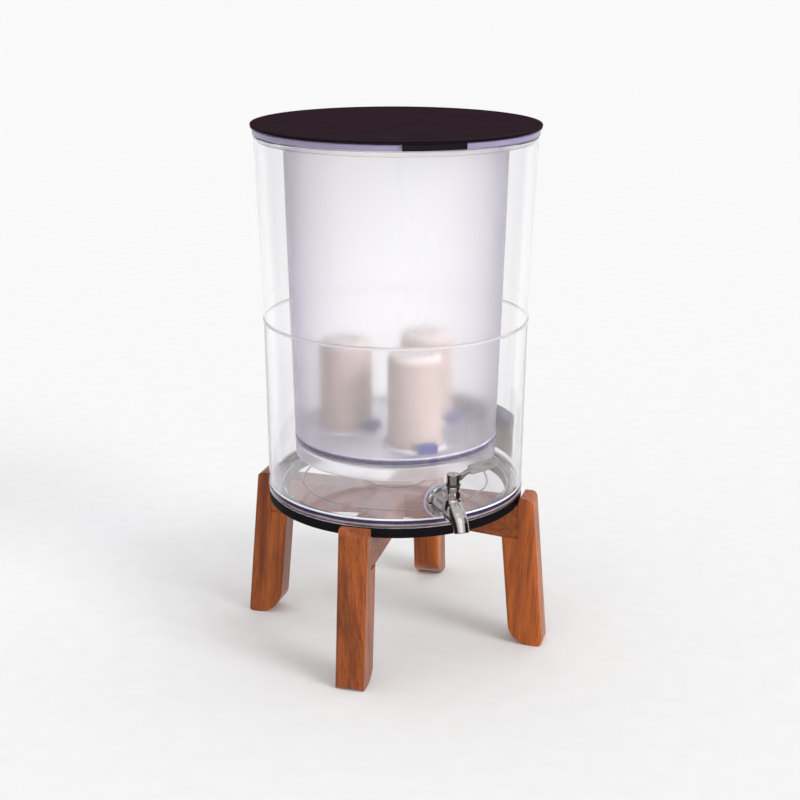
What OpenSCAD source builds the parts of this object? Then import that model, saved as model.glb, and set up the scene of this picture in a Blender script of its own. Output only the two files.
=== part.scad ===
// Countertop water dispenser: a clear lower tank with a tap, a frosted upper tank with three
// ceramic filter candles hanging inside it, a flat lid, and a four-legged wooden stand.
// Millimetres. The axis of the tanks is Z, the floor is z = 0, and the tap points along -Y.

/* [Stand] */
// Height of the seat, where the ring rests on the beams
seat_z = 155; // [130:1:200]
// Outer face of a leg at the floor, from the axis
foot_r = 165.5; // [160:0.5:170]
// Splay of the legs, in degrees from vertical
splay = 5; // [3:0.5:6]
// Width of a leg, round the stand
leg_w = 30; // [28:1:38]
// Depth of a leg, outwards
leg_d = 36; // [33:1:38]
// Height of the leg tips above the seat
tip_h = 9.5; // [4:0.5:14]
// Height of a beam at the legs
beam_h = 35; // [30:1:40]
// Width of a beam
beam_w = 28; // [20:1:28]
// Turn of the stand under the tanks, in degrees
stand_turn = 9.5; // [-20:1:20]
// Height of the black ring between the beams and the lower tank
ring_h = 8; // [6:1:12]

/* [Lower tank] */
// Outer radius at the base
base_r = 133.3; // [131:0.1:134]
// Outer radius half way up, at the moulded bead
mid_r = 135.6; // [134:0.1:138]
// Outer radius at the mouth
mouth_r = 142; // [140:0.1:143]
// Height of the lower tank
tank_h = 369; // [350:0.5:380]
// Thickness of the wall
tank_t = 3; // [2.5:0.1:3.5]

/* [Upper tank] */
// Depth of the upper tank below its flange, with the skirt
upper_h = 330; // [300:1:335]
// Outer radius at the floor
upper_r = 105.4; // [103:0.1:106]
// Outer radius under the flange
upper_top_r = 113; // [110:0.1:115]
// Height of the skirt under the floor
skirt_h = 13; // [10:1:22]
// Thickness of the wall
upper_t = 2.5; // [2:0.1:3]

/* [Filter candles] */
// Number of candles
candles = 3; // [3:1:3]
// Distance of a candle from the axis
candle_pos_r = 53; // [50:1:60]
// Radius of the ceramic
candle_r = 27.5; // [24:0.5:28]
// Height of the ceramic
candle_h = 97; // [80:1:130]

/* [Tap] */
// Height of the tap's shank above the floor
tap_z = 191; // [189:1:196]
// Distance of the valve from the wall of the tank
tap_reach = 33; // [30:1:40]
// Radius of the valve barrel
barrel_r = 8.5; // [8:0.1:10]
// Bend radius of the spout
spout_bend = 15.5; // [15:0.5:19]
// Outer radius of the spout
spout_r = 7.4; // [7:0.1:8]
// Radius of the water way in the shank and the spout
way_r = 4.2; // [3.8:0.1:4.4]
// Length of the lever, from the valve to its tip
lever_l = 47; // [40:1:60]

/* [Lid] */
// Radius of the lid
lid_r = 145; // [144.6:0.1:148]
// Width of the lift tab, in degrees round the lid
tab_angle = 24; // [16:1:36]
// Turn of the lid on the tank, in degrees
lid_turn = -5.2; // [-45:0.1:45]

/* [Hidden] */
$fn = 160;
clear = 0.3;      // between pieces that lift apart
fit = 0.05;       // between pieces that are fastened, or turn, in each other

// Stand
tip_z = seat_z + tip_h;
shelf_z = seat_z - beam_h;       // notch in a leg that carries the end of a beam
tongue_r = 137;                  // inner face of a leg tip, from the axis
foot_round = 26.5;                 // large round at the inner bottom corner of a leg
foot_edge = 5;                   // small round at its outer bottom corner
tip_round = 7.5;                 // outer round at the top of a leg
tip_edge = 2;                    // inner round at the top of a leg
leg_edge = 3.8;                  // round of the upright edges of a leg
beam_rise = 7;                   // how much the underside of a beam rises to the middle
lap_z = (seat_z + shelf_z + beam_rise) / 2;
screw_pos_r = 127;
screw_r = 2.3;
screw_head_r = 4.6;
screw_l = 52;
beam_screw_l = 22;
LEG_TURNS = [-45, 45, 135, -135]; // front left, front right, back right, back left

// Ring
ring_out_r = 133.4;
ring_in_r = 117;
ring_lip = 1.9;                  // lip that hangs below the beams' tops, notched for the legs
tank_z = seat_z + ring_h + 0.2;  // underside of the lower tank
rim_z = tank_z + tank_h - 0.2;   // top of the lower tank

// Lower tank
floor_gap = 1.8;                 // from the tank's foot up to the underside of its floor
floor_t = 4;
floor_z = tank_z + floor_gap + floor_t;
foot_in_r = 120;                 // inner radius of the tank's foot
base_bead = 0.7;                 // how far the bead at the base stands out
bead_z = 346;                    // moulded bead half way up the wall
bead_out = 0.35;
bead_h = 3;
ridge_r = 97.5;                  // two moulded circles on the floor
hub_ridge_r = 32.5;
ridge_h = 0.45;

// Upper tank
flange_z = rim_z + clear;        // underside of the flange
flange_t = 2.5;
flange_r = 142.7;
band_h = 6.6;                      // upright band round the flange
skirt_z = flange_z - upper_h;
upper_floor_z = skirt_z + skirt_h;
upper_floor_t = 4;
upper_top = upper_floor_z + upper_floor_t;
lip_r = 138.3;                   // locating lip under the flange, inside the lower tank's mouth
lip_h = 5.5;

// Candles
CANDLE_ANGLES = [2, 122, -118];  // front, right, left, from the tap round the axis
LUG_ANGLES = [3, 37, 48];        // direction in which each lug points
seal_r = 14;
seal_t = 1.5;
cup_r = 33;
cup_h = 5.4;
cup_floor_t = 2.4;
cup_wall_t = 2;
stem_r = 5;
stem_l = 18;
stem_way_r = 2.6;
nut_h = 6;
nut_r = 9.5;
wing_l = 15;
candle_wall = 9;
candle_dome = 9;
lug_w = 19;
lug_h = 9.4;
lug_t = 6;
cup_z = upper_top + seal_t;

// Tap
wall_r = base_r + (mid_r - base_r) * (tap_z - tank_z) / (bead_z - tank_z);
valve_y = -(wall_r + tap_reach);
shank_r = 7.9;                   // threaded shank through the wall
hole_r = 8.3;
shank_in = 13;                   // how far the shank stands inside the tank
flange_disc_r = 16;
flange_disc_t = 3;
washer_out_r = 17.6;
washer_t = 2.4;
back_nut_af = 22;                // across flats
back_nut_h = 6;
neck_r = 8.6;
neck_l = 22;
barrel_below = 7;
barrel_above = 13.9;
barrel_top_r = 7.3;
barrel_straight = 4.4;            // height above the shank where the barrel starts to narrow
plug_r = 6.2;
bonnet_r = 6.8;
bonnet_h = 12.5;
slip_h = 1.8;
hub_r = 6.4;
hub_h = 10;
spout_out = 8.7;                 // straight run before the bend
spout_turn = 80;                 // how far the spout bends down, in degrees
spout_collar = 0.25;              // how much thicker the straight run is than the bend
barrel_top = tap_z + barrel_above;
hub_z = barrel_top + bonnet_h + slip_h;
key = 4.4;                       // square drive between the plug's stem and the lever
key_h = 4.5;
stem_valve_r = 3.6;
lever_rise = 10;                 // slope of the paddle, in degrees
lever_tilt = 32;                 // lean of the paddle towards the user, in degrees
lever_t = 2;
neck_w = 5.6;
paddle_w = 11;
paddle_start = 17;

// Lid
lid_z = flange_z + band_h + clear;
lid_frame_t = 1.8;
lid_plate_t = 1.9;
lid_lip_r = 139.6;
lid_lip_t = 2.4;
lid_lip_h = 3.4;
tab_in_r = flange_r + 0.6;
tab_out_r = 147.4;
tab_drop = 6;

// Points of an arc about c, from angle a0 to a1
function arc(c, r, a0, a1, n = 8) =
    [for (i = [0:n]) c + r * [cos(a0 + (a1 - a0) * i / n), sin(a0 + (a1 - a0) * i / n)]];

// Outer radius of the lower tank at height z, which flares more above the bead
function tank_out(z) = z < bead_z
    ? base_r + (mid_r - base_r) * (z - tank_z) / (bead_z - tank_z)
    : mid_r + (mouth_r - mid_r) * (z - bead_z) / (rim_z - bead_z);

// Outer radius of the upper tank at height z
function upper_out(z) =
    upper_r + (upper_top_r - upper_r) * (z - upper_top) / (flange_z - upper_top);

// Turns a piece drawn along +X to an angle measured from the tap's side of the axis
module at_angle(a) {
    rotate([0, 0, a - 90]) children();
}

module at_leg(i) {
    at_angle(LEG_TURNS[i] + stand_turn) children();
}

// What a round of radius r about c takes off a corner whose faces look to angles a0 and a1
module corner_cut(c, r, a0, a1) {
    mid = (a0 + a1) / 2;
    far = 1.3 * r / cos((a1 - a0) / 2);
    difference() {
        polygon([c, c + 1.3 * r * [cos(a0), sin(a0)], c + far * [cos(mid), sin(mid)],
                 c + 1.3 * r * [cos(a1), sin(a1)]]);
        translate(c) circle(r = r);
    }
}

// Side view of a leg: x is the distance from the axis and y the height
module leg_outline() {
    s = splay;
    slope = tan(s);
    foot_in = foot_r - leg_d;
    inner = [foot_in + foot_round / cos(s) - foot_round * slope, foot_round];
    outer = [foot_r - foot_edge / cos(s) - foot_edge * slope, foot_edge];
    tip = [foot_r - tip_round / cos(s) - (tip_z - tip_round) * slope, tip_z - tip_round];
    difference() {
        polygon([[foot_in, 0], [foot_r, 0], [foot_r - tip_z * slope, tip_z], [tongue_r, tip_z],
                 [tongue_r, shelf_z], [foot_in - shelf_z * slope, shelf_z]]);
        corner_cut(inner, foot_round, 180 + s, 270);
        corner_cut(outer, foot_edge, -90, s);
        corner_cut(tip, tip_round, s, 90);
        corner_cut([tongue_r + tip_edge, tip_z - tip_edge], tip_edge, 90, 180);
    }
}

// Section of a leg with its edges rounded, x from its outer face inwards
module leg_section() {
    d = leg_d * cos(splay);
    e = leg_edge;
    translate([-d, e - leg_w / 2]) square([d, leg_w - 2 * e]);
    translate([e - d, -leg_w / 2]) square([d - 2 * e, leg_w]);
    for (x = [e - d, -e], y = [e - leg_w / 2, leg_w / 2 - e]) translate([x, y]) circle(r = e);
}

// A countersunk wood screw, its head at z = 0 and its point down
module wood_screw(l, extra = 0) {
    head_h = screw_head_r - screw_r;
    translate([0, 0, -head_h]) cylinder(h = head_h, r1 = screw_r + extra, r2 = screw_head_r + extra);
    translate([0, 0, -l + 5 - extra]) cylinder(h = l - 5 - head_h + extra, r = screw_r + extra);
    translate([0, 0, -l - extra]) cylinder(h = 5, r1 = 0.4 + extra, r2 = screw_r + extra);
}

module leg_screw_at(i, extra = 0) {
    at_leg(i) translate([screw_pos_r, 0, seat_z - 0.3]) wood_screw(screw_l, extra);
}

module leg(i) {
    color("#9c5a34") difference() {
        at_leg(i) intersection() {
            rotate([90, 0, 0]) linear_extrude(height = leg_w + 2, center = true) leg_outline();
            translate([foot_r, 0, 0]) rotate([0, -splay, 0]) translate([0, 0, -20])
                linear_extrude(height = tip_z + 40) leg_section();
        }
        leg_screw_at(i, fit);
    }
}

// Side view of a beam, along its length
module beam_outline() {
    end = tongue_r - 0.2;
    run = foot_r - leg_d - shelf_z * tan(splay);
    polygon([[-end, shelf_z], [-run, shelf_z], [-30, shelf_z + beam_rise], [30, shelf_z + beam_rise],
             [run, shelf_z], [end, shelf_z], [end, seat_z], [-end, seat_z]]);
}

module beam_screw_at(extra = 0) {
    translate([0, 0, shelf_z + beam_rise + 0.3]) mirror([0, 0, 1]) wood_screw(beam_screw_l, extra);
}

// A cross beam between two legs, with a half lap cut above or below the middle
module beam(first_leg, lap_above) {
    color("#a5623a") difference() {
        at_leg(first_leg) rotate([90, 0, 0])
            linear_extrude(height = beam_w, center = true) beam_outline();
        at_leg(first_leg) translate([0, 0, lap_above ? lap_z + 25 - fit : lap_z - 25 + fit])
            cube([beam_w + 2 * fit, beam_w + 1, 50], center = true);
        for (i = [first_leg, first_leg + 2]) leg_screw_at(i, fit);
        beam_screw_at(fit);
    }
}

module leg_screws() {
    color("#c8a45a") for (i = [0:3]) leg_screw_at(i);
}

module beam_screw() {
    color("#c8a45a") beam_screw_at();
}

module support_ring() {
    e = 1;
    color("#141214") difference() {
        rotate_extrude() polygon(concat(
            [[ring_out_r - 6, seat_z + 0.05], [ring_out_r - 6, seat_z - ring_lip]],
            arc([ring_out_r - e, seat_z - ring_lip + e], e, -90, 0, 4),
            arc([ring_out_r - e, seat_z + ring_h - e], e, 0, 90, 4),
            [[ring_in_r, seat_z + ring_h], [ring_in_r, seat_z + 0.05]]
        ));
        for (i = [0:3]) at_leg(i)
            translate([ring_out_r - 25, -leg_w / 2 - 0.6, seat_z - 10])
                cube([30, leg_w + 1.2, 10.05]);
    }
}

// Half section of the lower tank, radius against height
module lower_tank_outline() {
    bead = 1.2;
    polygon(concat(
        [[0, floor_z - floor_t], [foot_in_r - 2, floor_z - floor_t], [foot_in_r, tank_z]],
        arc([base_r + base_bead - bead, tank_z + bead], bead, -90, 0, 4),
        [[base_r + base_bead, tank_z + 4], [tank_out(tank_z + 5.2), tank_z + 5.2]],
        [for (i = [0:8]) [tank_out(bead_z) + bead_out * sin(180 * i / 8), bead_z + bead_h * (i / 8 - 0.5)]],
        arc([mouth_r - tank_t / 2, rim_z - tank_t / 2], tank_t / 2, 0, 180, 8),
        arc([tank_out(floor_z) - tank_t - 4, floor_z + 4], 4, 0, -90, 6),
        [for (r = [ridge_r, hub_ridge_r], i = [0:6])
            [r - 1.2 * (i / 3 - 1), floor_z + ridge_h * sin(180 * i / 6)]],
        [[0, floor_z]]
    ));
}

module lower_tank() {
    color("#e8ebf2") difference() {
        rotate_extrude() lower_tank_outline();
        translate([0, -wall_r + 12, tap_z]) rotate([90, 0, 0]) cylinder(h = 30, r = hole_r);
    }
}

// A blank foil label on the back of the lower tank
module rear_label() {
    z0 = tank_z + 15;
    z1 = z0 + 49;
    off = 0.04;
    t = 0.3;
    color("#8c93a6") at_angle(84) rotate_extrude(angle = 52)
        polygon([[tank_out(z0) + off, z0], [tank_out(z0) + off + t, z0],
                 [tank_out(z1) + off + t, z1], [tank_out(z1) + off, z1]]);
}

// A cylinder along Y from y0 outwards to y0 - l, about the tap's shank
module along_tap(y0, l, r, r2 = -1) {
    translate([0, y0, tap_z]) rotate([90, 0, 0]) cylinder(h = l, r1 = r, r2 = r2 < 0 ? r : r2);
}

// The solid of the lower tank's outer or inner face near the tap, grown or shrunk a little
module tank_face(off, z0 = tap_z - 25, z1 = tap_z + 25) {
    rotate_extrude() polygon([[0, z0], [tank_out(z0) + off, z0], [tank_out(z1) + off, z1], [0, z1]]);
}

module spout(r, extra = 0) {
    lap = 3;                     // the bend starts this many degrees inside the straight run
    translate([0, valve_y + 2, tap_z]) rotate([90, 0, 0])
        cylinder(h = spout_out + 2, r = r + spout_collar, $fn = 64);
    translate([0, valve_y - spout_out, tap_z - spout_bend]) rotate([0, 0, -90]) rotate([90, 0, 0])
        rotate([0, 0, 90 - spout_turn - extra]) rotate_extrude(angle = spout_turn + extra + lap)
            translate([spout_bend, 0]) circle(r = r, $fn = 64);
}

// Shank, flange, neck, valve barrel and spout, cast as one
module tap_body() {
    face_y = -(wall_r + washer_t);
    color("#b9b6b4") difference() {
        union() {
            along_tap(-wall_r + tank_t + shank_in, tank_t + shank_in + washer_t, shank_r);
            difference() {
                along_tap(face_y, flange_disc_t, flange_disc_r);
                for (a = [0:45:315])
                    translate([0, face_y - flange_disc_t, tap_z]) rotate([0, a, 0])
                        translate([flange_disc_r, 0, 0]) rotate([90, 0, 0])
                            cylinder(h = 3, r = 1.7, center = true);
            }
            along_tap(face_y - flange_disc_t, neck_l, flange_disc_r - 3.4, neck_r);
            along_tap(face_y, tap_reach - washer_t, neck_r);
            translate([0, valve_y, tap_z]) rotate_extrude() polygon([
                [0, -barrel_below], [barrel_r, -barrel_below], [barrel_r, barrel_straight],
                [barrel_top_r, barrel_above], [0, barrel_above]]);
            spout(spout_r);
        }
        along_tap(-wall_r + tank_t + shank_in + 1, tap_reach + tank_t + shank_in + 1, way_r);
        spout(way_r, 4);
        translate([0, valve_y, tap_z - barrel_below + 1])
            cylinder(h = barrel_below + barrel_above, r = plug_r + fit);
    }
}

module tap_shank_nut() {
    y0 = -wall_r + tank_t + washer_t + 0.5 + back_nut_h;
    color("#b4b1af") difference() {
        translate([0, y0, tap_z]) rotate([90, 0, 0])
            cylinder(h = back_nut_h, r = back_nut_af / 2 / cos(30), $fn = 6);
        along_tap(y0 + 1, back_nut_h + 2, shank_r + fit);
    }
}

// Soft washer that takes up the curve of the wall outside
module tap_outer_washer() {
    color("#c9c8dc") difference() {
        along_tap(-wall_r + 3, 3 + washer_t - fit, washer_out_r);
        tank_face(fit);
        along_tap(-wall_r + 10, 20, shank_r + fit);
    }
}

module tap_inner_washer() {
    y0 = -wall_r + tank_t + washer_t + 0.45;
    color("#c9c8dc") intersection() {
        difference() {
            along_tap(y0, washer_t + 2, washer_out_r - 2);
            along_tap(y0 + 1, 20, shank_r + fit);
        }
        tank_face(-tank_t - fit);
    }
}

// Packing nut on the barrel, which the plug's stem turns in
module tap_bonnet() {
    color("#aaa7a5") translate([0, valve_y, barrel_top + fit]) difference() {
        cylinder(h = bonnet_h - fit, r = bonnet_r);
        translate([0, 0, -1]) cylinder(h = bonnet_h + 2, r = stem_valve_r + fit);
        for (a = [0:60:300]) rotate([0, 0, a]) translate([bonnet_r + 0.2, 0, bonnet_h / 2 - 1])
            cylinder(h = bonnet_h, r = 0.7, center = true);
    }
}

// Valve plug: its cross way is shut at rest, across the shank
module tap_plug() {
    h = barrel_below + barrel_above - 1 - 2 * fit;
    color("#d8d2c4") translate([0, valve_y, 0]) {
        difference() {
            translate([0, 0, tap_z - barrel_below + 1 + fit]) cylinder(h = h, r = plug_r);
            translate([0, 0, tap_z]) rotate([0, 90, 0]) cylinder(h = 30, r = way_r - 0.4, center = true);
        }
        translate([0, 0, barrel_top - 2 * fit])
            cylinder(h = bonnet_h + slip_h + fit, r = stem_valve_r);
        translate([-key / 2, -key / 2, hub_z - fit * 2]) cube([key, key, key_h + fit * 2]);
    }
}

module tap_slip_washer() {
    color("#f2f0ee") translate([0, valve_y, barrel_top + bonnet_h + fit]) difference() {
        cylinder(h = slip_h - 2 * fit, r = bonnet_r + 0.3);
        translate([0, 0, -1]) cylinder(h = slip_h + 2, r = stem_valve_r + fit);
    }
}

// Side view of the lever's arm, which climbs from the hub to the paddle
module lever_side() {
    polygon([[0, 3], [hub_r + 1, 3.2], [13, 8], [paddle_start + 3, 11.4],
             [paddle_start + 3, 13.2], [15, 12.8], [hub_r + 2, 9.6], [0, 9.4]]);
}

// Plan of the paddle, from where the arm meets it to its rounded tip
module paddle_plan() {
    l = lever_l + 1 - paddle_start;
    r = 3;
    w = paddle_w / 2;
    polygon(concat(
        [[-1, w - 1], [-1, -w + 1], [0.5, -w]],
        arc([l - r, -w + r], r, -90, 0, 8), arc([l - r, w - r], r, 0, 90, 8), [[0.5, w]]
    ));
}

module tap_lever() {
    color("#bdbab8") translate([0, valve_y, hub_z]) difference() {
        union() {
            cylinder(h = hub_h, r = hub_r);
            rotate([90, 0, 0]) linear_extrude(height = neck_w, center = true) lever_side();
            translate([paddle_start, 0, 12.1]) rotate([0, -lever_rise, 0]) rotate([lever_tilt, 0, 0])
                linear_extrude(height = lever_t, center = true) paddle_plan();
        }
        translate([-key / 2 - fit, -key / 2 - fit, -1]) cube([key + 2 * fit, key + 2 * fit, key_h + 1.1]);
        translate([0, 0, key_h]) cylinder(h = hub_h, r = 1.6 + fit);
        translate([0, 0, hub_h - 2.4]) cylinder(h = 5, r = 3.2 + fit);
    }
}

module tap_lever_screw() {
    color("#a8a6a5") translate([0, valve_y, hub_z + hub_h]) difference() {
        union() {
            translate([0, 0, -2.3]) cylinder(h = 2, r = 3.2);
            translate([0, 0, key_h + 0.3 - hub_h]) cylinder(h = hub_h - key_h - 2, r = 1.6);
        }
        translate([0, 0, -0.6]) cube([0.9, 5, 1.2], center = true);
    }
}

// Half section of the upper tank, radius against height
module upper_tank_outline() {
    t = upper_t;
    band_top = flange_z + band_h;
    polygon([
        [0, upper_floor_z], [upper_out(upper_floor_z) - t - 1.5, upper_floor_z],
        [upper_out(upper_floor_z) - t, upper_floor_z - 1.5],
        [upper_out(skirt_z) - t, skirt_z + 0.4], [upper_out(skirt_z) - t + 0.4, skirt_z],
        [upper_out(skirt_z) - 0.4, skirt_z], [upper_out(skirt_z), skirt_z + 0.4],
        [upper_out(flange_z - 3), flange_z - 3], [upper_out(flange_z) + 3, flange_z],
        [lip_r - 2, flange_z], [lip_r - 2, flange_z - lip_h], [lip_r - 0.6, flange_z - lip_h],
        [lip_r, flange_z - lip_h + 1], [lip_r, flange_z], [flange_r - 0.4, flange_z],
        [flange_r, flange_z + 0.4], [flange_r, band_top - 0.6], [flange_r - 0.6, band_top],
        [flange_r - t + 0.5, band_top], [flange_r - t, band_top - 0.5],
        [flange_r - t, flange_z + flange_t], [upper_out(flange_z) - t + 3, flange_z + flange_t],
        [upper_out(flange_z) - t, flange_z + flange_t - 3],
        [upper_out(upper_top) - t, upper_top + 3], [upper_out(upper_top) - t - 3, upper_top],
        [0, upper_top]
    ]);
}

module at_candle(i) {
    at_angle(CANDLE_ANGLES[i]) translate([candle_pos_r, 0, 0])
        rotate([0, 0, 90 - CANDLE_ANGLES[i]]) children();
}

module upper_tank() {
    color("#dedbe8") difference() {
        rotate_extrude() upper_tank_outline();
        for (i = [0:candles - 1]) at_candle(i)
            translate([0, 0, upper_floor_z - 1]) cylinder(h = upper_floor_t + 2, r = stem_r + 0.2);
    }
}

// Hollow ceramic cartridge with a domed top, standing in its cup
module candle(i) {
    d = candle_dome;
    z0 = cup_z + cup_floor_t;
    color("#d9c6b4") at_candle(i) rotate_extrude() polygon(concat(
        [[candle_r - candle_wall, z0], [candle_r, z0]],
        arc([candle_r - d, z0 + candle_h - d], d, 0, 90, 8),
        [[0, z0 + candle_h], [0, z0 + candle_h - candle_wall]],
        arc([candle_r - candle_wall - 4, z0 + candle_h - candle_wall - 4], 4, 90, 0, 4)
    ));
}

// Cup that carries a candle, with its hollow stem through the tank's floor
module candle_cup(i) {
    color("#e6e3ea") at_candle(i) rotate_extrude() polygon([
        [stem_way_r, cup_z - stem_l], [stem_r, cup_z - stem_l], [stem_r, cup_z], [cup_r - 1, cup_z],
        [cup_r, cup_z + 1], [cup_r, cup_z + cup_h - 0.5], [cup_r - 0.5, cup_z + cup_h],
        [cup_r - cup_wall_t, cup_z + cup_h], [cup_r - cup_wall_t, cup_z + cup_floor_t],
        [stem_way_r, cup_z + cup_floor_t]
    ]);
}

// Blue lug clipped on the rim of a cup
module candle_lug(i) {
    color("#3f55b5") at_candle(i) rotate([0, 0, LUG_ANGLES[i] - 90]) difference() {
        translate([candle_r + 0.6, -lug_w / 2, cup_z + cup_floor_t + 0.1])
            cube([cup_r - candle_r + lug_t - 3.2, lug_w, lug_h]);
        difference() {
            translate([0, 0, cup_z]) cylinder(h = cup_h + fit, r = cup_r + fit);
            translate([0, 0, cup_z]) cylinder(h = cup_h + fit, r = cup_r - cup_wall_t - fit);
        }
        translate([0, 0, cup_z]) cylinder(h = 40, r = candle_r + 0.5);
    }
}

module candle_seals() {
    slack = 0.01;
    color("#f0eeee") for (i = [0:candles - 1]) at_candle(i) translate([0, 0, upper_top + slack])
        difference() {
            cylinder(h = seal_t - 2 * slack, r = seal_r);
            translate([0, 0, -1]) cylinder(h = seal_t + 2, r = stem_r + fit);
        }
}

// Wing nuts that hold the cups down from below
module candle_nuts() {
    color("#e9e7ee") for (i = [0:candles - 1]) at_candle(i)
        translate([0, 0, upper_floor_z - nut_h - fit]) difference() {
            union() {
                cylinder(h = nut_h, r = nut_r);
                translate([-wing_l, -1.6, 0]) cube([2 * wing_l, 3.2, nut_h - 0.5]);
            }
            translate([0, 0, -1]) cylinder(h = nut_h + 2, r = stem_r + fit);
        }
}

module lid_plate() {
    z0 = lid_z + lid_frame_t + fit;
    e = 0.9;
    color("#2b2528") rotate_extrude() polygon(concat(
        [[0, z0], [lid_r - 0.5, z0], [lid_r, z0 + 0.4]],
        arc([lid_r - e, z0 + lid_plate_t - e], e, 0, 90, 4),
        [[0, z0 + lid_plate_t]]
    ));
}

// Underside of the lid: a disc with a locating lip, and the lift tab at the front
module lid_frame() {
    color("#1d181b") {
        rotate_extrude() polygon([
            [0, lid_z], [lid_lip_r - lid_lip_t, lid_z], [lid_lip_r - lid_lip_t, lid_z - lid_lip_h],
            [lid_lip_r - 0.6, lid_z - lid_lip_h], [lid_lip_r, lid_z - lid_lip_h + 0.6],
            [lid_lip_r, lid_z], [lid_r - 0.6, lid_z], [lid_r - 0.2, lid_z + 0.4],
            [lid_r - 0.2, lid_z + lid_frame_t - 0.4], [lid_r - 0.9, lid_z + lid_frame_t],
            [0, lid_z + lid_frame_t]
        ]);
        at_angle(lid_turn - tab_angle / 2) rotate_extrude(angle = tab_angle)
            polygon([[tab_in_r, lid_z - tab_drop + 0.5], [tab_in_r + 0.5, lid_z - tab_drop],
                     [tab_out_r - 1, lid_z - tab_drop], [tab_out_r, lid_z - tab_drop + 1],
                     [tab_out_r, lid_z - 0.6], [lid_r - 1, lid_z + 0.5], [tab_in_r, lid_z + 0.5]]);
    }
}

leg(0);  // leg_front_left
leg(1);  // leg_front_right
leg(2);  // leg_back_right
leg(3);  // leg_back_left
beam(0, true);  // lower_beam
beam(1, false);  // upper_beam
leg_screws();
beam_screw();
support_ring();
lower_tank();
rear_label();
tap_body();
tap_shank_nut();
tap_outer_washer();
tap_inner_washer();
tap_bonnet();
tap_plug();
tap_slip_washer();
tap_lever();
tap_lever_screw();
upper_tank();
candle(0);  // candle_front
candle(1);  // candle_right
candle(2);  // candle_left
candle_cup(0);  // candle_cup_front
candle_cup(1);  // candle_cup_right
candle_cup(2);  // candle_cup_left
candle_lug(0);  // candle_lug_front
candle_lug(1);  // candle_lug_right
candle_lug(2);  // candle_lug_left
candle_seals();
candle_nuts();
lid_plate();
lid_frame();
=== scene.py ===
import math

import bmesh
import bpy
from mathutils import Matrix, Vector


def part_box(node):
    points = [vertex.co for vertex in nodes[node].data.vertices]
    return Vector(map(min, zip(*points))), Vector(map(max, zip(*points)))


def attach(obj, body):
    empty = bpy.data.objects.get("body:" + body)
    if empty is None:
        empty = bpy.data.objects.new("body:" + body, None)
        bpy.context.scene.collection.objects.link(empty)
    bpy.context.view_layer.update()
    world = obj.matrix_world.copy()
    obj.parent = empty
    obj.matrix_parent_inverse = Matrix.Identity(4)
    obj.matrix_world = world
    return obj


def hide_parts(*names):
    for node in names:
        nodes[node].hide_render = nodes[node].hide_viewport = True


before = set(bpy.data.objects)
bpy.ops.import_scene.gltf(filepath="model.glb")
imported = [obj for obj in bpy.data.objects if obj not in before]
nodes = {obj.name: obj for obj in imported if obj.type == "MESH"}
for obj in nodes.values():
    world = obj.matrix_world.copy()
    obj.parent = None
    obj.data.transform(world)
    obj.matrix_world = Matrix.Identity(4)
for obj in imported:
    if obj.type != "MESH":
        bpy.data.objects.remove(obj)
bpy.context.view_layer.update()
scene = bpy.context.scene
scene.view_settings.view_transform = "Standard"

# Shapes are given in millimetres, as in the part's source, and MM turns them into metres
MM = 0.001
UPPER_FLOOR_R = 105.4  # outside of the upper tank at its floor
SEAM_Z = 346           # moulded bead round the lower tank
SEAM_R = 135.97        # just outside that bead

# ---------------------------------------------------------------- camera

# Angles are in radians, distances in metres, and the lens in millimetres
CAMERA_AZIMUTH = math.radians(-19.3)
CAMERA_DISTANCE = 1.515
CAMERA_HEIGHT = 0.717
CAMERA_DOWN = math.radians(16.97)
CAMERA_PAN = math.radians(0.173)
CAMERA_ROLL = math.radians(0.19)
CAMERA_LENS = 68.1

TO_CAMERA = Vector((math.sin(CAMERA_AZIMUTH), -math.cos(CAMERA_AZIMUTH), 0))
CAMERA_RIGHT = Vector((math.cos(CAMERA_AZIMUTH), math.sin(CAMERA_AZIMUTH), 0))


def make_camera():
    data = bpy.data.cameras.new("camera")
    data.lens = CAMERA_LENS
    data.sensor_width = 36
    data.clip_start = 0.05
    data.clip_end = 100
    cam = bpy.data.objects.new("camera", data)
    scene.collection.objects.link(cam)
    cam.location = TO_CAMERA * CAMERA_DISTANCE + Vector((0, 0, CAMERA_HEIGHT))
    turn = Matrix.Rotation(CAMERA_AZIMUTH - CAMERA_PAN, 3, "Z")
    turn = turn @ Matrix.Rotation(math.pi / 2 - CAMERA_DOWN, 3, "X")
    turn = turn @ Matrix.Rotation(CAMERA_ROLL, 3, "Z")
    cam.rotation_euler = turn.to_euler()
    scene.camera = cam


make_camera()


# ---------------------------------------------------------------- node helpers


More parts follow.
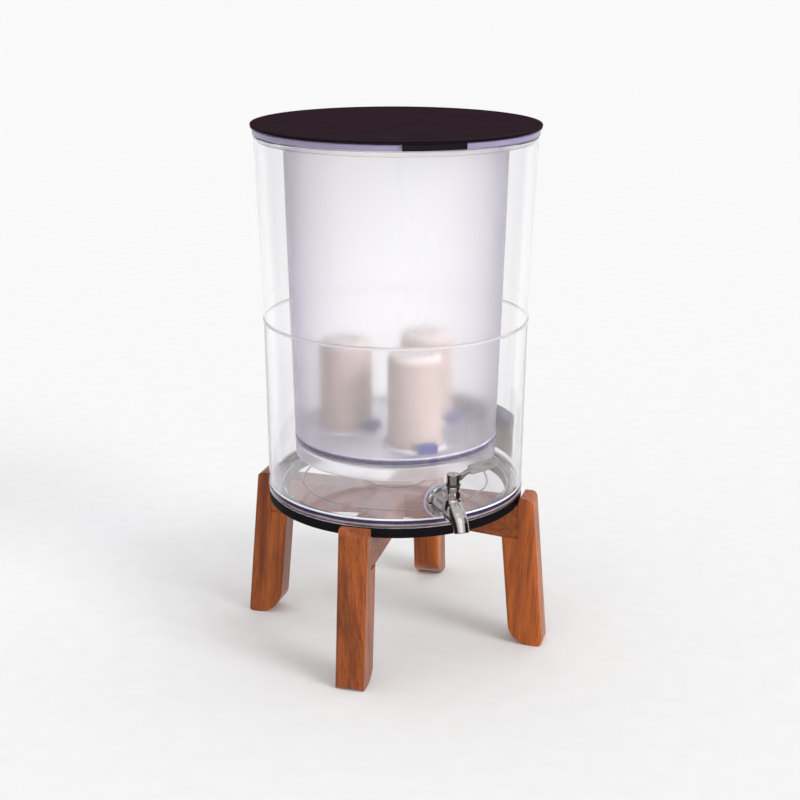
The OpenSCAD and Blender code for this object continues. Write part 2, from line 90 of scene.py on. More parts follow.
class Tree:
    """Short calls for building a material's node tree."""

    def __init__(self, owner):
        owner.use_nodes = True
        self.nt = owner.node_tree
        self.nt.nodes.clear()

    def add(self, kind, **values):
        node = self.nt.nodes.new(kind)
        for key, value in values.items():
            setattr(node, key, value)
        return node

    def link(self, source, target):
        self.nt.links.new(source, target)

    def put(self, socket, value):
        if hasattr(value, "is_linked"):
            self.link(value, socket)
        else:
            socket.default_value = value

    def coords(self, scale=(1, 1, 1), turn=(0, 0, 0), shift=(0, 0, 0)):
        """Object coordinates, scaled after they are turned."""
        tc = self.add("ShaderNodeTexCoord")
        first = self.add("ShaderNodeMapping")
        first.inputs["Rotation"].default_value = turn
        first.inputs["Location"].default_value = shift
        self.link(tc.outputs["Object"], first.inputs["Vector"])
        second = self.add("ShaderNodeMapping")
        second.inputs["Scale"].default_value = scale
        self.link(first.outputs["Vector"], second.inputs["Vector"])
        return second.outputs["Vector"]

    def noise(self, vector, scale, detail=3, rough=0.5, distortion=0.0):
        n = self.add("ShaderNodeTexNoise")
        self.link(vector, n.inputs["Vector"])
        n.inputs["Scale"].default_value = scale
        n.inputs["Detail"].default_value = detail
        n.inputs["Roughness"].default_value = rough
        n.inputs["Distortion"].default_value = distortion
        return n.outputs["Fac"]

    def ramp(self, value, stops):
        r = self.add("ShaderNodeValToRGB")
        self.link(value, r.inputs["Fac"])
        while len(r.color_ramp.elements) < len(stops):
            r.color_ramp.elements.new(0.5)
        for element, (at, colour) in zip(r.color_ramp.elements, stops):
            element.position = at
            element.color = (*colour, 1)
        return r.outputs["Color"]

    def span(self, value, low, high, from_low=0.0, from_high=1.0):
        m = self.add("ShaderNodeMapRange")
        self.link(value, m.inputs["Value"])
        m.inputs["From Min"].default_value = from_low
        m.inputs["From Max"].default_value = from_high
        m.inputs["To Min"].default_value = low
        m.inputs["To Max"].default_value = high
        return m.outputs["Result"]

    def math(self, operation, a, b=None):
        m = self.add("ShaderNodeMath", operation=operation)
        self.put(m.inputs[0], a)
        if b is not None:
            self.put(m.inputs[1], b)
        return m.outputs[0]

    def mix(self, factor, a, b, blend="MIX"):
        m = self.add("ShaderNodeMix", data_type="RGBA", blend_type=blend)
        self.put(m.inputs["Factor"], factor)
        self.put(m.inputs["A"], a if hasattr(a, "is_linked") else (*a, 1))
        self.put(m.inputs["B"], b if hasattr(b, "is_linked") else (*b, 1))
        return m.outputs["Result"]

    def rise(self, low, high):
        """0 at height low to 1 at height high, in object coordinates."""
        tc = self.add("ShaderNodeTexCoord")
        split = self.add("ShaderNodeSeparateXYZ")
        self.link(tc.outputs["Object"], split.inputs[0])
        return self.span(split.outputs["Z"], 0, 1, low, high)

    def bump(self, height, strength, distance=0.001, normal=None):
        b = self.add("ShaderNodeBump")
        b.inputs["Strength"].default_value = strength
        b.inputs["Distance"].default_value = distance
        self.link(height, b.inputs["Height"])
        if normal is not None:
            self.link(normal, b.inputs["Normal"])
        return b.outputs["Normal"]

    def principled(self, **values):
        p = self.add("ShaderNodeBsdfPrincipled")
        for key, value in values.items():
            if isinstance(value, tuple) and len(value) == 3:
                value = (*value, 1)
            self.put(p.inputs[key.replace("_", " ")], value)
        return p

    def finish(self, shader, volume=None):
        out = self.add("ShaderNodeOutputMaterial")
        self.link(shader, out.inputs["Surface"])
        if volume is not None:
            self.link(volume, out.inputs["Volume"])

    def lets_lamps_through(self, shader, tint):
        """Glass that lamps shine through, so that what is behind it is lit."""
        path = self.add("ShaderNodeLightPath")
        clear = self.add("ShaderNodeBsdfTransparent")
        clear.inputs["Color"].default_value = (*tint, 1)
        m = self.add("ShaderNodeMixShader")
        self.link(path.outputs["Is Shadow Ray"], m.inputs["Fac"])
        self.link(shader, m.inputs[1])
        self.link(clear.outputs[0], m.inputs[2])
        return m.outputs[0]

    def absorption(self, colour, density):
        v = self.add("ShaderNodeVolumeAbsorption")
        v.inputs["Color"].default_value = (*colour, 1)
        v.inputs["Density"].default_value = density
        return v.outputs[0]


def material(name):
    mat = bpy.data.materials.new(name)
    return mat, Tree(mat)


# ---------------------------------------------------------------- materials


def wood(name, pale, dark, turn, shift):
    """Oiled reddish hardwood, with long pores and growth lines along Z once it is turned."""
    mat, t = material(name)
    along = t.coords((1, 1, 0.045), turn, shift)
    across = t.coords((1, 1, 0.16), turn, shift)
    figure = t.noise(along, 26, 4, 0.55, 0.6)
    lines = t.noise(along, 190, 3, 0.6, 0.3)
    pores = t.noise(t.coords((1, 1, 0.022), turn, shift), 900, 2, 0.6)
    blotch = t.noise(across, 9, 2, 0.5)
    colour = t.ramp(figure, [(0.33, dark), (0.5, pale), (0.69, tuple(1.3 * c for c in pale))])
    streaks = t.ramp(lines, [(0.34, (0.5, 0.42, 0.36)), (0.56, (1, 1, 1))])
    colour = t.mix(0.8, colour, streaks, "MULTIPLY")
    pore_mask = t.ramp(pores, [(0.3, (0.38, 0.3, 0.26)), (0.42, (1, 1, 1))])
    colour = t.mix(0.8, colour, pore_mask, "MULTIPLY")
    tone = t.ramp(blotch, [(0.3, (0.84, 0.82, 0.8)), (0.7, (1.1, 1.08, 1.05))])
    colour = t.mix(0.8, colour, tone, "MULTIPLY")
    rough = t.math("ADD", t.span(lines, 0.5, 0.36), t.span(pores, 0.1, 0.0, 0.3, 0.5))
    normal = t.bump(pores, 0.22, 0.0004)
    normal = t.bump(lines, 0.12, 0.0006, normal)
    p = t.principled(
        Base_Color=colour,
        Roughness=rough,
        Normal=normal,
        Specular_IOR_Level=0.4,
        Sheen_Weight=0.15,
        Sheen_Roughness=0.3,
    )
    t.finish(p.outputs[0])
    return mat


def clear_plastic(name, tint, edge, density, haze_low, haze_high):
    """Clear moulded plastic, with slight waviness, handling haze and a lilac cast in its depth."""
    mat, t = material(name)
    haze = t.noise(t.coords(), 14, 4, 0.6)
    fine = t.noise(t.coords(), 600, 2, 0.5)
    wave = t.noise(t.coords((1, 1, 0.35)), 7, 1, 0.4)
    rough = t.math("ADD", t.span(haze, haze_low, haze_high, 0.35, 0.7), t.span(fine, 0, 0.008))
    p = t.principled(
        Base_Color=tint,
        Roughness=rough,
        IOR=1.49,
        Transmission_Weight=0.97,
        Normal=t.bump(wave, 0.08, 0.002),
    )
    shader = t.lets_lamps_through(p.outputs[0], tint)
    t.finish(shader, t.absorption(edge, density))
    return mat


def frosted_plastic(name):
    """Frosted plastic: what is close behind it shows, what is far blurs away, with a lilac cast in its
    depth and painted lilac edge shade where it is seen edge-on.
    """
    mat, t = material(name)
    cloud = t.noise(t.coords((1, 1, 0.25)), 22, 3, 0.5)
    grain = t.noise(t.coords(), 1400, 2, 0.6)
    rough = t.math("ADD", t.span(cloud, 0.25, 0.29, 0.3, 0.7), t.span(grain, 0, 0.03))
    # Painted edge shade: Layer Weight mixes a darker lilac into the base colour where the wall is seen
    # edge-on, beyond the lilac that the absorption below gives
    rim = t.add("ShaderNodeLayerWeight")
    rim.inputs["Blend"].default_value = 0.5
    tint = t.mix(t.math("POWER", rim.outputs["Facing"], 1.5), (1.0, 1.0, 1.0), (0.61, 0.54, 0.7))
    p = t.principled(
        Base_Color=tint,
        Roughness=rough,
        IOR=1.18,
        Transmission_Weight=0.96,
        Normal=t.bump(grain, 0.03, 0.0003),
    )
    shader = t.lets_lamps_through(p.outputs[0], (0.94, 0.93, 0.95))
    t.finish(shader, t.absorption((0.15, 0.0, 0.4), 1.5))
    return mat


def steel(name, tone=0.4, rough_low=0.1, rough_high=0.2, wave=0.0):
    """Polished stainless steel with faint polishing lines and smudges, and waves where it is worn."""
    mat, t = material(name)
    polish = t.noise(t.coords((1, 0.08, 1)), 1100, 3, 0.6)
    smudge = t.noise(t.coords(), 70, 3, 0.55)
    rough = t.math("ADD", t.span(smudge, rough_low, rough_high, 0.35, 0.7), t.span(polish, 0, 0.05))
    warm = (tone, 0.945 * tone, 0.93 * tone)
    pale = tuple(1.16 * c for c in warm)
    worn = None
    if wave > 0:
        worn = t.bump(t.noise(t.coords(), 150, 2, 0.4), wave, 0.002)
    p = t.principled(
        Base_Color=t.ramp(smudge, [(0.3, warm), (0.7, pale)]),
        Roughness=rough,
        Metallic=1.0,
        Normal=t.bump(polish, 0.05, 0.0002, worn),
    )
    t.finish(p.outputs[0])
    return mat


def plastic(name, colour, rough, grain_scale, grain, variation=0.12, specular=0.5):
    """Moulded opaque plastic or rubber: grain in the surface, patchy gloss and tone."""
    mat, t = material(name)
    fine = t.noise(t.coords(), grain_scale, 3, 0.55)
    patch = t.noise(t.coords(), 24, 4, 0.55)
    lower = tuple(c * (1 - variation) for c in colour)
    upper = tuple(min(1, c * (1 + variation)) for c in colour)
    shade = t.ramp(patch, [(0.32, lower), (0.68, upper)])
    patchy = t.span(patch, rough - 0.06, rough + 0.06, 0.3, 0.7)
    p = t.principled(
        Base_Color=shade,
        Roughness=t.math("ADD", patchy, t.span(fine, -0.03, 0.03)),
        Specular_IOR_Level=specular,
        Normal=t.bump(fine, grain, 0.0004),
    )
    t.finish(p.outputs[0])
    return mat


def ceramic(name, top):
    """Porous filter ceramic, paler on the dome that ends at height top."""
    mat, t = material(name)
    pores = t.noise(t.coords(), 800, 4, 0.7)
    stain = t.noise(t.coords((1, 1, 0.4)), 30, 4, 0.6)
    body = t.ramp(stain, [(0.3, (0.44, 0.34, 0.3)), (0.7, (0.52, 0.41, 0.365))])
    colour = t.mix(t.rise(top - 8 * MM, top - 3 * MM), body, (0.64, 0.58, 0.56))
    pits = t.ramp(pores, [(0.35, (0.72, 0.68, 0.64)), (0.55, (1, 1, 1))])
    colour = t.mix(0.5, colour, pits, "MULTIPLY")
    p = t.principled(
        Base_Color=colour,
        Roughness=t.span(pores, 0.8, 0.95),
        Specular_IOR_Level=0.25,
        Normal=t.bump(pores, 0.3, 0.0005),
    )
    t.finish(p.outputs[0])
    return mat


def translucent(name, colour, rough, transmission, lamp_tint):
    """Soft or thin plastic that glows a little and hides most of what is behind it."""
    mat, t = material(name)
    fine = t.noise(t.coords(), 900, 3, 0.6)
    patch = t.noise(t.coords(), 60, 3, 0.5)
    lower = tuple(c * 0.92 for c in colour)
    p = t.principled(
        Base_Color=t.ramp(patch, [(0.3, lower), (0.7, colour)]),
        Roughness=t.math("ADD", t.span(patch, rough - 0.05, rough + 0.05), t.span(fine, 0, 0.04)),
        IOR=1.42,
        Transmission_Weight=transmission,
        Normal=t.bump(fine, 0.08, 0.0003),
    )
    t.finish(t.lets_lamps_through(p.outputs[0], lamp_tint))
    return mat


def foil(name, low, high):
    """Blank metallised label from height low to high: brushed and creased, bluer and darker towards its
    top, and warmer towards its foot as a painted reflection of the wooden stand.
    """
    mat, t = material(name)
    brush = t.noise(t.coords((1, 1, 12)), 160, 3, 0.6)
    crease = t.noise(t.coords(), 28, 4, 0.6)
    rise = t.math("ADD", t.rise(low, high), t.span(crease, -0.15, 0.15))
    # Painted reflection: the warm stop at the foot stands in for the wooden stand reflected in the foil
    painted_reflection_tones = [(0.1, (0.8, 0.56, 0.5)), (0.45, (0.5, 0.34, 0.34)), (0.75, (0.26, 0.21, 0.37))]
    p = t.principled(
        Base_Color=t.ramp(rise, painted_reflection_tones),
        Metallic=0.25,
        Roughness=t.math("ADD", t.span(crease, 0.24, 0.36), t.span(brush, 0, 0.06)),
        Normal=t.bump(crease, 0.2, 0.001),
    )
    t.finish(p.outputs[0])
    return mat


# Each leg's place round the stand in degrees, and how much paler its wood is made: partly each timber's own
# tone and partly painted light, paler on the front-right leg for the light from the right and on the back
# legs to lift their shade
LEGS = {
    "leg_front_left": (-35.5, 1.0),
    "leg_front_right": (54.5, 1.22),
    "leg_back_right": (144.5, 1.38),
    "leg_back_left": (-125.5, 1.12),
}
BEAMS = {"lower_beam": -35.5, "upper_beam": 54.5}
LEG_LEAN = 5
WOOD_PALE = (0.285, 0.068, 0.008)
WOOD_DARK = (0.15, 0.03, 0.003)


def paint(node, mat):
    for slot in nodes[node].material_slots:
        slot.material = mat


def paint_all():
    for i, (leg, (angle, tone)) in enumerate(LEGS.items()):
        turn = (0, math.radians(-LEG_LEAN if i % 2 else LEG_LEAN), math.radians(-angle))
        # Each leg's tone scales its wood colour, as timber tone and painted light together
        pale = tuple(tone * c for c in WOOD_PALE)
        dark = tuple(tone * c for c in WOOD_DARK)
        paint(leg, wood("wood_" + leg, pale, dark, turn, (0.37 * i, 0.21 * i, 0.5 * i)))
    for i, (beam, angle) in enumerate(BEAMS.items()):
        turn = (math.radians(90), 0, math.radians(90 - angle))
        paint(beam, wood("wood_" + beam, WOOD_PALE, WOOD_DARK, turn, (0.3, 0.2 * i, 0.4)))
    screw = steel("zinc_screws", 0.6, 0.25, 0.4)
    for node in ("leg_screws", "beam_screw"):
        paint(node, screw)
    rubber = plastic("ring_rubber", (0.004, 0.0034, 0.0048), 0.6, 900, 0.25, variation=0.2, specular=0.12)
    paint("support_ring", rubber)
    clear = clear_plastic("clear_tank", (1.0, 0.998, 1.0), (0.14, 0.0, 0.38), 5.0, 0.0, 0.02)
    paint("lower_tank", clear)
    label_low, label_high = (corner.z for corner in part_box("rear_label"))
    paint("rear_label", foil("label_foil", label_low, label_high))
    metal = steel("tap_steel")
    for node in ("tap_body", "tap_shank_nut", "tap_bonnet", "tap_lever_screw"):
        paint(node, metal)
    paint("tap_lever", steel("lever_steel", 0.33, wave=0.35))
    soft = translucent("silicone", (0.72, 0.7, 0.86), 0.4, 0.35, (0.5, 0.48, 0.62))
    for node in ("tap_outer_washer", "tap_inner_washer", "candle_seals"):
        paint(node, soft)
    paint("tap_plug", plastic("acetal", (0.78, 0.75, 0.7), 0.4, 500, 0.1))
    paint("tap_slip_washer", plastic("slip_washer_grey", (0.035, 0.03, 0.03), 0.35, 500, 0.1))
    paint("upper_tank", frosted_plastic("frosted_tank"))
    clay = ceramic("ceramic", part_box("candle_front")[1].z)
    cup = translucent("cup_plastic", (0.84, 0.82, 0.9), 0.25, 0.3, (0.6, 0.58, 0.66))
    blue = plastic("lug_blue", (0.002, 0.008, 0.2), 0.3, 700, 0.06, variation=0.15)
    for side in ("front", "right", "left"):
        paint("candle_" + side, clay)
        paint("candle_cup_" + side, cup)
        paint("candle_lug_" + side, blue)
    paint("candle_nuts", cup)
    matt = (0.022, 0.0125, 0.017)
    plate = plastic("lid_plate_plastic", matt, 0.75, 1300, 0.1, variation=0.08, specular=0.0)
    paint("lid_plate", plate)
    gloss = (0.006, 0.004, 0.0065)
    rim = plastic("lid_frame_plastic", gloss, 0.42, 1300, 0.1, variation=0.15, specular=0.15)
    paint("lid_frame", rim)


paint_all()


# ---------------------------------------------------------------- detailed pieces


def shade_smooth(mesh):
    for face in mesh.polygons:
        face.use_smooth = True


def bake_modifiers(obj):
    """Turns a piece's modifiers into its mesh."""
    graph = bpy.context.evaluated_depsgraph_get()
    mesh = bpy.data.meshes.new_from_object(obj.evaluated_get(graph))
    obj.modifiers.clear()
    obj.data = mesh
    shade_smooth(mesh)


def piece(name, verts, faces, mat, body):
    """A mesh given in millimetres, riding on a body."""
    mesh = bpy.data.meshes.new(name)
    mesh.from_pydata([Vector(v) * MM for v in verts], [], faces)
    bm = bmesh.new()
    bm.from_mesh(mesh)
    bmesh.ops.recalc_face_normals(bm, faces=bm.faces)
    bm.to_mesh(mesh)
    bm.free()
    shade_smooth(mesh)
    obj = bpy.data.objects.new(name, mesh)
    scene.collection.objects.link(obj)
    mesh.materials.append(mat)
    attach(obj, body)
    return obj


def turned(profile, place, steps=128, closed=True, shape=None):
    """Vertices and faces of a profile of (radius, distance) turned through a circle.

    place(radius, angle, distance) gives a point, and shape(radius, angle, distance) a changed radius."""
    verts, faces = [], []
    n = len(profile)
    for i in range(steps):
        a = 2 * math.pi * i / steps
        for r, d in profile:
            verts.append(place(shape(r, a, d) if shape else r, a, d))
    for i in range(steps):
        j = (i + 1) % steps
        for k in range(n if closed else n - 1):
            m = (k + 1) % n
            faces.append((i * n + k, j * n + k, j * n + m, i * n + m))
    if not closed:
        faces.append(tuple(i * n for i in range(steps)))
        faces.append(tuple(i * n + n - 1 for i in range(steps)))
    return verts, faces


def upright(cx=0.0, cy=0.0):
    """Places turned points round a vertical axis."""
    return lambda r, a, z: (cx + r * math.cos(a), cy + r * math.sin(a), z)


def along_shank(cz):
    """Places turned points round the tap's shank, which lies along y at height cz."""
    return lambda r, a, y: (r * math.cos(a), y, cz + r * math.sin(a))


def swept(path, steps=48):
    """A tube of changing radius along points (y, z, radius) in the plane x = 0, closed at both ends."""
    verts, faces = [], []
    n = len(path)
    for k, (y, z, r) in enumerate(path):
        y0, z0 = path[max(k - 1, 0)][:2]
        y1, z1 = path[min(k + 1, n - 1)][:2]
        d = Vector((0, y1 - y0, z1 - z0)).normalized()
        side = Vector((1, 0, 0))
        up = side.cross(d)
        for i in range(steps):
            a = 2 * math.pi * i / steps
            verts.append(Vector((0, y, z)) + side * (r * math.cos(a)) + up * (r * math.sin(a)))
    for k in range(n - 1):
        for i in range(steps):
            j = (i + 1) % steps
            faces.append((k * steps + i, k * steps + j, (k + 1) * steps + j, (k + 1) * steps + i))
    faces.append(tuple(range(steps)))
    faces.append(tuple((n - 1) * steps + i for i in range(steps)))
    return verts, faces


def merged(*parts):
    """Several lots of vertices and faces as one."""
    verts, faces = [], []
    for v, f in parts:
        base = len(verts)
        verts += [Vector(p) for p in v]
        faces += [tuple(i + base for i in face) for face in f]
    return verts, faces


def melt(obj, voxel, passes):
    """Fuses a piece's overlapping solids into one skin and rounds its edges, as a casting has them."""
    fuse = obj.modifiers.new("fuse", "REMESH")
    fuse.mode = "VOXEL"
    fuse.voxel_size = voxel * MM
    ease = obj.modifiers.new("ease", "SMOOTH")
    ease.factor = 0.5
    ease.iterations = passes
    bake_modifiers(obj)


def ribbed_ring():
    """The black ring under the tank, with a lip that hangs over the beams' ends and fine upright ribs."""
    rib_count = 280
    rib_depth = 0.45
    steps_per_rib = 6
    low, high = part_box("support_ring")
    out, bottom, top = high.x / MM, low.z / MM, high.z / MM
    ribbed = [(out, top - 1.3 - (top - bottom - 2.4) * k / 6) for k in range(7)]
    profile = [(out - 16.4, bottom + 1.95), (out - 16.4, top), (out - 0.8, top), (out - 0.15, top - 0.6)]
    profile += ribbed + [(out - 0.15, bottom + 0.5), (out - 0.8, bottom), (out - 6, bottom)]
    profile += [(out - 6, bottom + 1.95)]

    def rib(r, a, z):
        if r < out - 0.01:
            return r
        return r - rib_depth * max(0.0, math.sin(rib_count * a)) ** 0.7

    verts, faces = turned(profile, upright(), rib_count * steps_per_rib, shape=rib)
    rubber = nodes["support_ring"].material_slots[0].material
    ring = piece("ring_ribbed", verts, faces, rubber, "stand")
    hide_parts("support_ring")


def cast_tap():
    """Shank and flange turned as one piece, and neck, valve and horn-shaped spout fused as a second,
    cast-like piece with a bore through the spout.
    """
    metal = nodes["tap_bonnet"].material_slots[0].material
    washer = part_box("tap_outer_washer")
    cz = (washer[0].z + washer[1].z) / 2 / MM
    face = washer[0].y / MM
    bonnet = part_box("tap_bonnet")
    vy = (bonnet[0].y + bonnet[1].y) / 2 / MM
    top = bonnet[0].z / MM
    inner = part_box("tap_body")[1].y / MM

    pitch = 1.5
    thread = []
    y = inner - 0.8
    while y > face + 1:
        thread += [(7.85, y), (7.35, y - pitch / 2)]
        y -= pitch
    profile = [(0, inner - 9), (4.2, inner - 9), (4.2, inner - 0.4), (4.6, inner), (7.2, inner)]
    profile += thread + [(7.6, face), (15.6, face), (16, face - 0.4), (16, face - 1.5)]
    profile += [(15.6, face - 2.2), (14.8, face - 2.9), (13.4, face - 3.3)]
    profile += [(8, face - 3.6), (0, face - 3.6)]

    def notch(r, a, y):
        """Eight nicks in the flange's rim."""
        near = abs((a + math.pi / 8) % (math.pi / 4) - math.pi / 8)
        return r - 1.9 if r > 14 and near < 0.12 else r

    verts, faces = turned(profile, along_shank(cz), 256, closed=False, shape=notch)
    flange = piece("tap_flange", verts, faces, metal, "reservoir")

    def out(points):
        """Points (distance out from the valve, height, radius) as swept() takes them."""
        return [(vy - s, z, r) for s, z, r in points]

    neck = swept(out([(-28.4, cz, 12.4), (-27, cz, 11.8), (-25, cz, 11.1), (-21, cz, 10.4),
                      (-16, cz, 9.9), (-9, cz, 9.5), (-2, cz, 9.4), (5, cz, 9.3)]))
    elbow = swept(out([(-3, cz, 9.0), (3, cz, 9.0), (7.5, cz - 0.1, 9.0), (11, cz - 0.7, 8.8),
                       (14.5, cz - 2.1, 8.6), (17.8, cz - 4.4, 8.3), (20.6, cz - 7.3, 8.0),
                       (22.6, cz - 10.4, 7.7), (23.7, cz - 12.7, 7.5), (24.05, cz - 13.6, 7.4)]))
    saddle = swept(out([(-2, top - 2.5, 5.5), (2.5, top - 6.4, 7.0), (6.5, top - 9.9, 8.1),
                        (10.5, top - 13, 8.6), (14.5, top - 16, 8.6)]))
    tower = turned(
        [(0, top), (6.9, top), (7.5, top - 1.4), (8.3, top - 3.4), (9.0, top - 6), (9.4, top - 9),
         (9.5, top - 13), (9.3, top - 17), (8.4, top - 20), (6.5, top - 22.5), (0, top - 23.5)],
        upright(0, vy), 64, closed=False)
    verts, faces = merged(neck, elbow, saddle, tower)
    body = piece("tap_casting", verts, faces, metal, "reservoir")
    melt(body, 0.5, 9)
    verts, faces = swept(out([(24.3, cz - 18, 5.9), (24, cz - 13, 5.8), (22.2, cz - 9.4, 5.6),
                              (18.8, cz - 5.4, 5.3)]))
    bore = piece("tap_bore", verts, faces, metal, "reservoir")
    cut = body.modifiers.new("bore", "BOOLEAN")
    cut.object = bore
    cut.solver = "EXACT"
    bake_modifiers(body)
    bpy.data.objects.remove(bore)
    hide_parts("tap_body")
    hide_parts("tap_body")


def packing_nut():
    """The nut over the valve: a waist, a collar and six flats at its foot."""
    low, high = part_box("tap_bonnet")
    vy, z0, h = (low.y + high.y) / 2 / MM, low.z / MM, (high.z - low.z) / MM
    profile = [(3.8, z0), (6.6, z0), (7.0, z0 + 0.6), (7.0, z0 + 5.2), (6.5, z0 + 6.0), (6.3, z0 + 7.2)]
    profile += [(6.5, z0 + h - 3.6), (6.7, z0 + h - 2.6), (6.7, z0 + h - 0.8), (6.2, z0 + h), (3.8, z0 + h)]

    def flats(r, a, z):
        """Six flats across the widest part, whose corners are cut round."""
        if r < 6.9:
            return r
        return min(7.15, 6.35 / math.cos((a + math.pi / 6) % (math.pi / 3) - math.pi / 6))

    verts, faces = turned(profile, upright(0, vy), 144, shape=flats)
    metal = nodes["tap_bonnet"].material_slots[0].material
    nut = piece("tap_nut", verts, faces, metal, "reservoir")
    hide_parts("tap_bonnet")


def softened(node, name, body, voxel, passes):
    """A copy of a CAD node with its sharp edges worn round, which replaces it."""
    obj = bpy.data.objects.new(name, nodes[node].data.copy())
    scene.collection.objects.link(obj)
    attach(obj, body)
    melt(obj, voxel, passes)
    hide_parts(node)


def band(name, body, mat, low, high, thick=0.25):
    """A thin ring between (radius, height) points low and high, with rounded edges: tinted plastic for the
    lid's flange band, painted light for the fine lines.
    """
    rows = 4
    (r0, z0), (r1, z1) = low, high
    inner = [(r0 + (r1 - r0) * k / rows, z0 + (z1 - z0) * k / rows) for k in range(rows + 1)]
    outer = [
        (r + thick * math.sin(math.pi * (0.12 + 0.76 * k / rows)) ** 0.5, z)
        for k, (r, z) in reversed(list(enumerate(inner)))
    ]
    verts, faces = turned(inner + outer, upright(), 256)
    piece(name, verts, faces, mat, body)


def painted_refraction_lines():
    """Fine lines round the foot, the upper tank's floor and the wall's bead, all painted light: painted
    highlights, and painted refractions of the black ring, the wooden stand and the floor's edge where thick
    clear plastic meets floor and wall.
    """
    painted_ring_refraction = translucent("painted_ring_refraction_line", (0.035, 0.024, 0.085), 0.2, 0.12, (0.5, 0.48, 0.62))
    pale = translucent("painted_foot_highlight_line", (0.93, 0.91, 0.98), 0.2, 0.1, (0.8, 0.78, 0.85))
    painted_mauve_glint = translucent("painted_mauve_glint_line", (0.46, 0.35, 0.4), 0.25, 0.2, (0.7, 0.65, 0.7))
    painted_wood_refraction = translucent("painted_wood_refraction_line", (0.12, 0.058, 0.05), 0.25, 0.1, (0.6, 0.5, 0.5))
    painted_floor_refraction = translucent("painted_floor_refraction_line", (0.03, 0.02, 0.085), 0.25, 0.2, (0.5, 0.48, 0.62))
    soft = translucent("painted_floor_reflection_line", (0.4, 0.36, 0.56), 0.35, 0.55, (0.6, 0.58, 0.7))
    painted_floor_highlight = translucent("painted_floor_highlight_line", (0.86, 0.82, 0.95), 0.25, 0.3, (0.8, 0.78, 0.85))
    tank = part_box("lower_tank")[0].z / MM
    foot_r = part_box("support_ring")[1].x / MM - 0.04
    wall_slope = 0.0126

    def foot(name, mat, low, high):
        """A line on the lower tank's tapered wall, between two heights above its foot."""
        start = (foot_r + low * wall_slope, tank + low)
        end = (foot_r + high * wall_slope, tank + high)
        band(name, "reservoir", mat, start, end, 0.16)

    # The pale and mauve lines are painted highlights; the navy and brown lines paint the black ring and the
    # wooden stand seen refracted through the foot
    foot("foot_painted_wood_refraction", painted_wood_refraction, 1.6, 2.9)
    foot("foot_painted_mauve_glint", painted_mauve_glint, 3.1, 4.4)
    foot("foot_painted_ring_refraction", painted_ring_refraction, 5.2, 7.8)
    foot("foot_painted_highlight", pale, 8.3, 10.3)
    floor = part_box("candle_seals")[1].z / MM
    wall = UPPER_FLOOR_R + 0.05
    # Painted light round the upper tank's floor: a dark blue painted refraction of the floor's edge, a
    # fainter lilac painted reflection of it, and a painted highlight above
    lines = (
        ("soft", soft, -2.0, 3.8, 0.14),
        ("painted_floor_refraction", painted_floor_refraction, -0.9, 2.9, 0.3),
        ("painted_floor_highlight", painted_floor_highlight, 4.0, 5.0, 0.2),
    )
    for kind, mat, low, high, thick in lines:
        name = "floor_painted_line_" + kind
        band(name, "filter_tank", mat, (wall, floor + low), (wall, floor + high), thick)
    # A painted highlight along the moulded bead round the lower tank
    painted_seam_highlight = translucent("painted_seam_highlight_line", (0.95, 0.93, 0.96), 0.35, 0.88, (0.9, 0.9, 0.92))
    start, end = (SEAM_R, SEAM_Z - 1.6), (SEAM_R, SEAM_Z + 1.6)
    band("wall_seam_painted_highlight", "reservoir", painted_seam_highlight, start, end, 0.12)


def add_pieces():
    ribbed_ring()
    cast_tap()
    packing_nut()
    softened("tap_lever", "lever_worn", "tap_handle", 0.32, 14)
    lilac = translucent("lid_band_lilac", (0.4, 0.345, 0.53), 0.35, 0.25, (0.4, 0.36, 0.45))
    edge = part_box("upper_tank")[1]
    out, top = edge.x / MM + 0.03, edge.z / MM
    band("flange_band", "filter_tank", lilac, (out, top - 5.6), (out, top - 0.4))
    painted_refraction_lines()


add_pieces()


# ---------------------------------------------------------------- stage


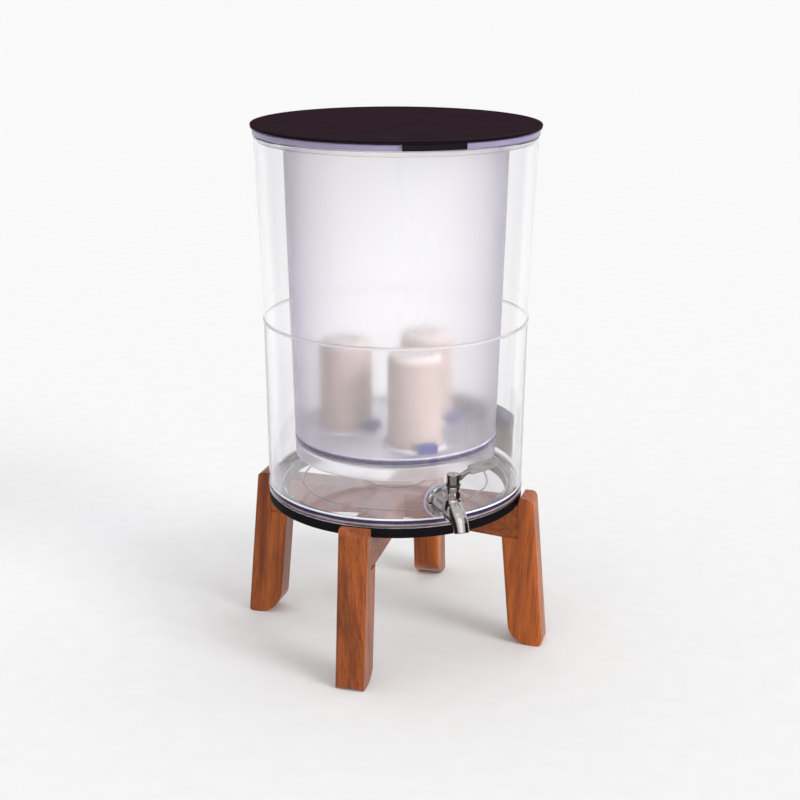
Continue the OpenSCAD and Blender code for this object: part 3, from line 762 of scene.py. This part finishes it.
def world_light():
    """A plain white studio. Only gloss sees its black side cards, bright front box and dim floor."""
    world = bpy.data.worlds.new("studio")
    scene.world = world
    t = Tree(world)
    tc = t.add("ShaderNodeTexCoord")
    split = t.add("ShaderNodeSeparateXYZ")
    t.link(tc.outputs["Generated"], split.inputs[0])
    height = split.outputs["Z"]

    def towards(direction):
        """How far a ray's direction lies along another."""
        dot = t.add("ShaderNodeVectorMath", operation="DOT_PRODUCT")
        t.link(tc.outputs["Generated"], dot.inputs[0])
        dot.inputs[1].default_value = direction
        return dot.outputs["Value"]

    facing = towards(TO_CAMERA)
    across = t.math("ABSOLUTE", towards(CAMERA_RIGHT))
    low = t.math("MULTIPLY", t.span(facing, 0, 1, -0.15, 0.25), t.span(height, 1, 0, -0.1, 0.05))
    seen = t.mix(low, (1.0, 1.0, 1.0), (0.55, 0.48, 0.48))
    card = t.math("MULTIPLY", t.span(across, 0, 1, 0.72, 0.86), t.span(height, 1, 0, 0.6, 0.8))
    seen = t.mix(card, seen, (0.03, 0.024, 0.024))
    box = t.math("MULTIPLY", t.span(facing, 0, 1, 0.2, 0.4), t.span(across, 1, 0, 0.3, 0.5))
    box = t.math("MULTIPLY", box, t.span(height, 0, 1, -0.1, 0.1))
    seen = t.mix(box, seen, (1.9, 1.9, 1.9))
    path = t.add("ShaderNodeLightPath")
    gloss = t.math("MULTIPLY", path.outputs["Is Glossy Ray"], path.outputs["Is Reflection Ray"])
    colour = t.mix(gloss, (1.0, 1.0, 1.0), seen)
    background = t.add("ShaderNodeBackground")
    t.link(colour, background.inputs["Color"])
    background.inputs["Strength"].default_value = 1.02
    out = t.add("ShaderNodeOutputWorld")
    t.link(background.outputs[0], out.inputs[0])


def sun(name, azimuth, elevation, strength, size):
    """A soft lamp, in degrees. Azimuth 0 is behind the camera, and positive is to its right."""
    data = bpy.data.lights.new(name, "SUN")
    data.energy = strength
    data.angle = math.radians(size)
    lamp = bpy.data.objects.new(name, data)
    scene.collection.objects.link(lamp)
    lamp.visible_glossy = False
    a, e = math.radians(azimuth) + CAMERA_AZIMUTH, math.radians(elevation)
    towards = Vector((math.sin(a) * math.cos(e), -math.cos(a) * math.cos(e), math.sin(e)))
    lamp.rotation_euler = towards.to_track_quat("Z", "Y").to_euler()


def make_floor():
    bpy.ops.mesh.primitive_plane_add(size=120, location=(0, 0, 0))
    floor = bpy.context.object
    floor.name = "floor"
    mat, t = material("floor_paper")
    fine = t.noise(t.coords(), 40, 3, 0.5)
    p = t.principled(
        Base_Color=t.ramp(fine, [(0.3, (0.7, 0.7, 0.7)), (0.7, (0.72, 0.72, 0.72))]),
        Roughness=0.9,
        Specular_IOR_Level=0.1,
    )
    t.finish(p.outputs[0])
    floor.data.materials.append(mat)
    floor.visible_glossy = False


world_light()
sun("key", 52, 32, 1.7, 25)
sun("fill", -30, 40, 0.15, 60)
make_floor()
